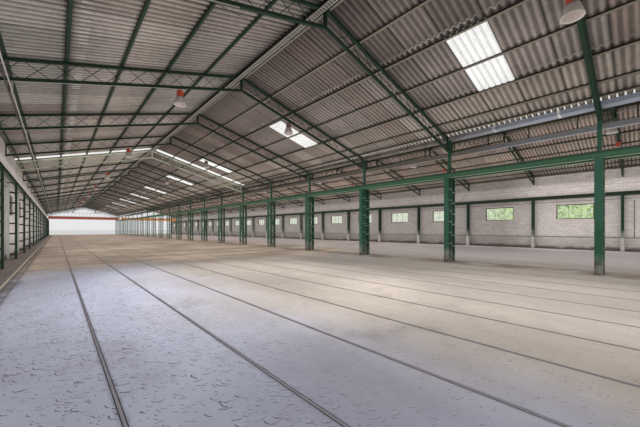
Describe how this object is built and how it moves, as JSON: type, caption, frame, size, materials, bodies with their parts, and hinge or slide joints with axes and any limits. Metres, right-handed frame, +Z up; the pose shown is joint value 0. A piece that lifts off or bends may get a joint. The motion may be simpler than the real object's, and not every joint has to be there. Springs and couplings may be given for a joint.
{
  "type": "twin-nave factory hall, scale model 1:10",
  "caption": "Long open-ended factory hall of two gabled naves with lattice rafters, battened crane columns, crane girders and travelling cranes, as a 1:10 model.",
  "frame": {"origin": "middle of the floor slab's underside", "axes": "+X across the naves, +Y along the hall to the end where the cranes are parked, +Z up"},
  "size_m": [3.0398, 10.61, 0.7671],
  "materials": {
    "worn_concrete": "worn matt slab with dirt and dust",
    "floor_steel": "worn flat steel set flush in the floor",
    "kerb_concrete": "rough cast kerb",
    "painted_blockwork": "limewashed block courses, stained",
    "window_steel": "thin painted bars",
    "window_glass": "clear glass, dusty",
    "dark_green_steel": "dark green paint, worn",
    "white_plinth": "whitewashed concrete",
    "green_steel": "green paint, rusty and faded near the floor",
    "girder_green": "green paint, semi-gloss",
    "rail_steel": "rolled rail steel, top run bright",
    "purlin_grey": "dusty grey-brown primer",
    "fibre_cement": "aged corrugated fibre cement",
    "rooflight_sheet": "translucent corrugated sheet",
    "galvanised_sheet": "dull zinc grey",
    "tray_metal": "dull light grey",
    "lamp_enamel": "orange-red enamel",
    "lamp_reflector": "white enamel",
    "crane_red": "faded red-brown paint",
    "crane_orange": "faded orange paint",
    "crane_yellow": "worn yellow paint"
  },
  "bodies": {
    "hall": {"floor_slab": "worn_concrete", "floor_strips": "floor_steel", "kerbs": "kerb_concrete", "left_wall_base": "painted_blockwork", "left_wall_piers": "painted_blockwork", "left_wall_top": "painted_blockwork", "right_wall_base": "painted_blockwork", "right_wall_piers": "painted_blockwork", "right_wall_top": "painted_blockwork", "left_window_frames": "window_steel", "left_window_glass": "window_glass", "right_window_frames": "window_steel", "right_window_glass": "window_glass", "left_wall_posts": "dark_green_steel", "right_wall_posts": "dark_green_steel", "plinths": "white_plinth", "middle_columns": "green_steel", "middle_shafts": "green_steel", "crane_girders": "girder_green", "crane_rails": "rail_steel", "rafters_left_outer": "dark_green_steel", "rafters_left_inner": "dark_green_steel", "rafters_right_inner": "dark_green_steel", "rafters_right_outer": "dark_green_steel", "gable_ties": "dark_green_steel", "purlins_left_outer": "dark_green_steel", "purlins_left_inner": "purlin_grey", "purlins_right_inner": "purlin_grey", "purlins_right_outer": "purlin_grey", "roof_left_outer": "fibre_cement", "roof_left_inner": "fibre_cement", "roof_right_inner": "fibre_cement", "roof_right_outer": "fibre_cement", "rooflights": "rooflight_sheet", "ridge_caps": "fibre_cement", "valley_gutter": "galvanised_sheet", "cable_trays": "tray_metal", "conduits": "tray_metal", "duct": "galvanised_sheet", "lamp_housings": "lamp_enamel", "lamp_reflectors": "lamp_reflector"},
    "left_crane": {"left_crane_bridge": "crane_red", "left_crane_carriages": "crane_yellow"},
    "right_crane": {"right_crane_bridge": "crane_orange", "right_crane_carriages": "crane_yellow"}
  },
  "joints": [
    {"name": "left_crane_travel", "type": "slide", "parent": "hall", "child": "left_crane", "axis": [0, -1, 0], "range_m": [-0.49, 9.89]},
    {"name": "right_crane_travel", "type": "slide", "parent": "hall", "child": "right_crane", "axis": [0, -1, 0], "range_m": [-0.49, 9.89]}
  ]
}
